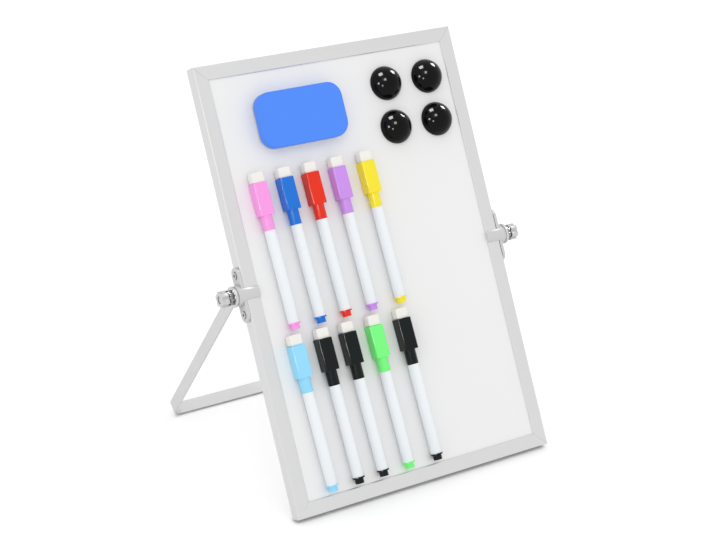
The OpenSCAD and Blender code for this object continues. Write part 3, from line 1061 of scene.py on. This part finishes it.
@dataclass
class MarkerSet:
    """The ten pens in their two rows, upper row first."""

    board: BoardFrame
    seed_step: float = 3.7
    pens: tuple[tuple[str, Ink], ...] = (
        ("pink", Ink.PINK),
        ("blue", Ink.BLUE),
        ("red", Ink.RED),
        ("purple", Ink.PURPLE),
        ("yellow", Ink.YELLOW),
        ("light_blue", Ink.LIGHT_BLUE),
        ("black_1", Ink.BLACK),
        ("black_2", Ink.BLACK),
        ("green", Ink.GREEN),
        ("black_3", Ink.BLACK),
    )

    def build(self) -> None:
        """Builds the pens one by one."""
        for number, (name, ink) in enumerate(self.pens):
            Marker(name, ink, self.board, self.seed_step * number).build()


# Studio


@dataclass(frozen=True)
class Lamp:
    """A square area lamp that faces the middle of the easel, with its power in watts."""

    name: str
    place: Triple
    size: float
    power: float
    aim: Triple = (0.0, 0.0, 0.14)

    def hang(self) -> bpy.types.Object:
        """Adds the lamp to the scene.

        Returns:
            The lamp.
        """
        data = bpy.data.lights.new(self.name, "AREA")
        data.shape = "SQUARE"
        data.size = self.size
        data.energy = self.power
        lamp = bpy.data.objects.new(self.name, data)
        bpy.context.scene.collection.objects.link(lamp)
        lamp.location = self.place
        lamp.rotation_mode = "QUATERNION"
        lamp.rotation_quaternion = (Vector(self.aim) - Vector(self.place)).to_track_quat("-Z", "Y")
        return lamp


@dataclass(frozen=True)
class Glint:
    """A bright softbox that only shows as a reflection on chosen pieces.

    Its radiance is in watts per square metre and steradian, and shows_on holds parts of names.
    """

    name: str
    direction: Triple
    size: float
    radiance: float
    shows_on: tuple[str, ...] = ("dome_upper", "dome_lower", "_cap_and_plug", "lock_collar")

    def hang(self, distance: float) -> None:
        """Adds the softbox to the scene.

        Args:
            distance: how far away it hangs.
        """
        place = Vector(self.direction).normalized() * distance
        power = self.radiance * math.pi * self.size ** 2
        box = Lamp(self.name, tuple(place), self.size, power).hang()
        box.visible_diffuse = False
        box.light_linking.receiver_collection = self.receivers()

    def receivers(self) -> bpy.types.Collection:
        """Gathers the pieces that reflect it.

        Returns:
            A collection of those pieces.
        """
        chosen = bpy.data.collections.new(f"{self.name}_shows_on")
        for name, thing in frame["nodes"].items():
            if any(part in name for part in self.shows_on):
                chosen.objects.link(thing)
        return chosen


@dataclass
class Floor:
    """A pale floor that the camera sees as white apart from the easel's shadow, with painted shadow
    at contacts.
    """

    size: float = 8.0
    roughness: float = 0.9
    paint: Colour = (0.90, 0.90, 0.90)
    # painted contact shadow: darker paint and a dimmer glow near contacts
    painted_contact_shadow: Colour = (0.64, 0.64, 0.64)
    painted_shadow_reach: float = 0.003
    glow: float = 0.18
    lit: Colour = (1.0, 1.0, 1.0)
    # glow colour inside the painted contact shadow
    glow_in_painted_shadow: Colour = (0.0, 0.0, 0.0)

    def build(self) -> None:
        """Adds the floor to the scene."""
        half = self.size / 2
        corners = [(-half, -half, 0), (half, -half, 0), (half, half, 0), (-half, half, 0)]
        mesh = bpy.data.meshes.new("floor")
        mesh.from_pydata(corners, [], [(0, 1, 2, 3)])
        floor = bpy.data.objects.new("floor", mesh)
        bpy.context.scene.collection.objects.link(floor)
        mesh.materials.append(self.material())

    def material(self) -> bpy.types.Material:
        """Makes the paint, with painted shadow at contacts, and a glow that only the camera sees and
        the painted shadow dims.

        Returns:
            The material.
        """
        material = bpy.data.materials.new("floor_white")
        material.use_nodes = True
        graph = Graph(material.node_tree)
        graph.tree.nodes.clear()
        output = graph.add("ShaderNodeOutputMaterial")
        # painted shadow mask: where the floor paint is darkened and its glow dimmed
        painted_shadow_mask = EFFECTS.place(graph, GroupKind.RECESS, reach=self.painted_shadow_reach).outputs["Mask"]
        paint = graph.add("ShaderNodeBsdfPrincipled", roughness=self.roughness)
        paint.inputs["Specular IOR Level"].default_value = 0.0
        graph.join(graph.blend(painted_shadow_mask, self.paint, self.painted_contact_shadow), paint.inputs["Base Color"])
        glow = graph.add("ShaderNodeEmission", strength=self.glow)
        graph.join(graph.blend(painted_shadow_mask, self.lit, self.glow_in_painted_shadow), glow.inputs["Color"])
        both = graph.add("ShaderNodeAddShader")
        graph.join(paint.outputs[0], both.inputs[0])
        graph.join(glow.outputs[0], both.inputs[1])
        path = graph.add("ShaderNodeLightPath")
        seen = graph.add("ShaderNodeMixShader")
        graph.join(path.outputs["Is Camera Ray"], seen.inputs[0])
        graph.join(paint.outputs[0], seen.inputs[1])
        graph.join(both.outputs[0], seen.inputs[2])
        graph.join(seen.outputs[0], output.inputs["Surface"])
        return material


@dataclass
class Camera:
    """The camera, at the photograph's angle and framing."""

    azimuth: float = math.radians(-30.63)
    elevation: float = math.radians(23.55)
    distance: float = 1.051
    target: Triple = (-0.0552, -0.0921, 0.1708)
    view_angle: float = math.radians(23.742)
    sensor: float = 36.0

    def build(self) -> None:
        """Adds the camera to the scene."""
        data = bpy.data.cameras.new("camera")
        data.sensor_width = self.sensor
        data.lens = self.sensor / 2 / math.tan(self.view_angle / 2)
        level = math.cos(self.elevation)
        back = Vector((math.sin(self.azimuth) * level, -math.cos(self.azimuth) * level,
                       math.sin(self.elevation)))
        camera = bpy.data.objects.new("camera", data)
        bpy.context.scene.collection.objects.link(camera)
        camera.location = Vector(self.target) + back * self.distance
        camera.rotation_mode = "QUATERNION"
        camera.rotation_quaternion = (-back).to_track_quat("-Z", "Y")
        bpy.context.scene.camera = camera


@dataclass
class Studio:
    """Pale floor, soft light all round, lamps for the highlights, and the camera."""

    world_light: float = 0.97
    world_shine: float = 0.845
    key: Lamp = Lamp("key", (-0.9, -1.3, 1.9), 1.2, 4.0)
    glint_distance: float = 2.0
    glints: tuple[Glint, ...] = (
        Glint("overhead_box", (-0.25, 0.11, 0.96), 0.66, 48.0),
        Glint("rear_right_box", (0.70, 0.20, 0.66), 0.50, 48.0),
        Glint("front_strip", (-0.20, -0.58, 0.79), 0.46, 32.0),
        Glint("left_strip", (-0.85, -0.34, 0.40), 0.38, 38.0),
        Glint("low_strip", (-0.60, -0.74, 0.24), 0.30, 32.0),
        Glint("pen_strip", (-0.81, -0.52, 0.27), 0.30, 90.0, ("_cap_and_plug",)),
        Glint("sleeve_strip", (0.46, 0.05, 0.89), 0.50, 22.0, ("hinge_bracket", "knob_")),
        Glint("bar_sky", (0.47, -0.05, 0.88), 1.0, 0.95, ("stand_frame",)),
    )

    def build(self) -> None:
        """Adds the floor, the world, the lamps and the camera."""
        bpy.context.scene.view_settings.view_transform = "Standard"
        Floor().build()
        self.add_world()
        self.key.hang()
        for glint in self.glints:
            glint.hang(self.glint_distance)
        Camera().build()

    def add_world(self) -> None:
        """Adds white surroundings: full white to the camera, softer in reflections and as light."""
        world = bpy.data.worlds.new("studio")
        bpy.context.scene.world = world
        world.use_nodes = True
        graph = Graph(world.node_tree)
        background = graph.tree.nodes["Background"]
        background.inputs["Color"].default_value = (1.0, 1.0, 1.0, 1.0)
        path = graph.add("ShaderNodeLightPath")
        seen = path.outputs["Is Camera Ray"]
        shone = graph.spread(path.outputs["Is Glossy Ray"], self.world_light, self.world_shine)
        unseen = graph.math("MULTIPLY", shone, graph.math("SUBTRACT", 1.0, seen))
        graph.join(graph.math("ADD", unseen, seen), background.inputs["Strength"])


def main() -> None:
    """Builds and dresses the easel, sub-assembly by sub-assembly, and then the studio."""
    logging.basicConfig(level=logging.INFO, format="%(name)s: %(message)s")
    board = BoardFrame.read()
    parts = (FramedBoard(), Hinges(), Stand(), Eraser(board), DomeMagnets(), MarkerSet(board),
             Studio())
    for part in parts:
        part.build()
        log.info("%s done", type(part).__name__)


if __name__ == "__main__":
    main()
